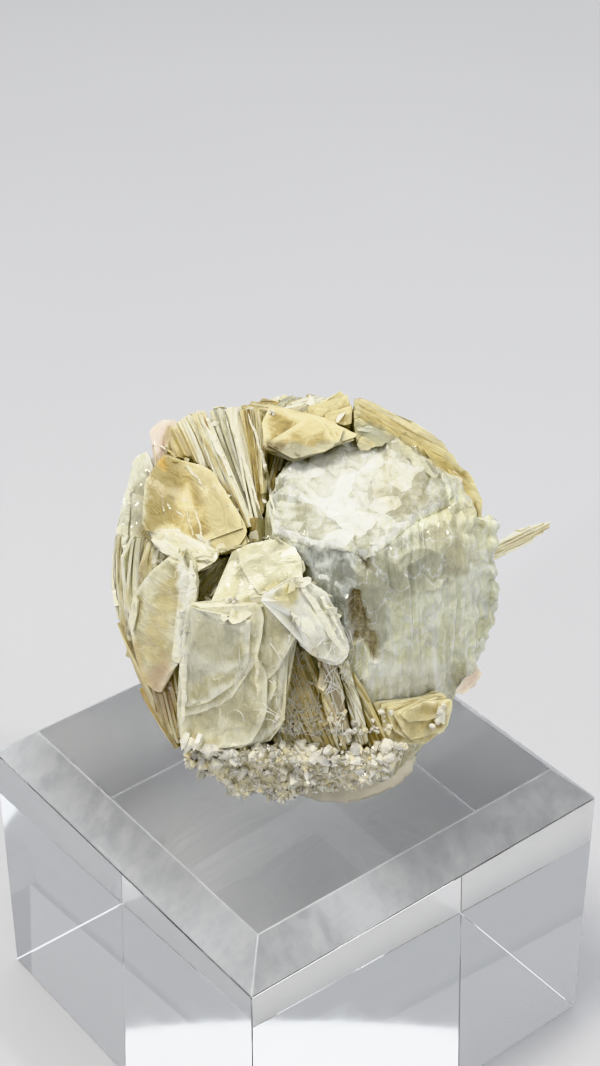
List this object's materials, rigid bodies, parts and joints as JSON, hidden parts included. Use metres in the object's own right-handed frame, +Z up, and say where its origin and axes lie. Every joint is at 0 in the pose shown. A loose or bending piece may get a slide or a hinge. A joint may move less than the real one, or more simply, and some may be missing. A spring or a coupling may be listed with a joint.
{
  "type": "aquamarine on mica, on a clear display block",
  "caption": "Rounded rosette of golden mica books grown round one large clear etched aquamarine, fixed with putty to a bevelled clear block.",
  "frame": {"origin": "middle of the block's underside", "axes": "+Z up out of the block, and the specimen's display side faces -Y. The block is turned 38.5 degrees about Z, with a corner towards the display side"},
  "size_m": [0.0702, 0.0702, 0.0838],
  "materials": {
    "clear_acrylic": "clear polished acrylic",
    "aquamarine": "clear, very pale sage green, with an etched, finely striated surface",
    "mica_gold": "golden-brown mica in many thin sheets, glossy on the cleavage faces",
    "mica_cream": "cream-white translucent mica in many thin sheets, satin",
    "mica_pale": "pale sage mica plates with a satin shine and white edges",
    "crystal_crust": "sugary clear crystals with dark specks",
    "mica_pink": "translucent pinkish mica",
    "putty": "smooth dull cream mineral putty"
  },
  "bodies": {
    "root": {"acrylic_block": "clear_acrylic", "aquamarine": "aquamarine", "back_book_1": "mica_gold", "back_book_2": "mica_gold", "back_book_3": "mica_gold", "back_book_4": "mica_gold", "back_book_5": "mica_gold", "back_book_6": "mica_gold", "back_book_7": "mica_gold", "back_book_8": "mica_gold", "blade_1": "mica_cream", "blade_2": "mica_cream", "blade_3": "mica_gold", "cavity_book": "mica_gold", "centre_plate": "mica_pale", "crystal_crust": "crystal_crust", "draped_sheet": "mica_pale", "fan_book_1": "mica_gold", "fan_book_2": "mica_cream", "fan_book_3": "mica_pale", "fan_book_4": "mica_cream", "fan_book_5": "mica_gold", "front_plate": "mica_pale", "gold_flake": "mica_gold", "golden_face_book": "mica_gold", "hollow_book": "mica_gold", "leaf_book": "mica_gold", "ledge_flap": "mica_cream", "left_blade_1": "mica_cream", "left_blade_2": "mica_cream", "left_blade_3": "mica_gold", "left_wedge": "mica_gold", "lower_right_book": "mica_gold", "peak_plate": "mica_gold", "pink_flake": "mica_pink", "pink_flap_book": "mica_pink", "putty": "putty", "recess_book": "mica_gold", "rim_book": "mica_gold", "splinter": "mica_cream", "top_shelf": "mica_gold"}
  },
  "joints": []
}
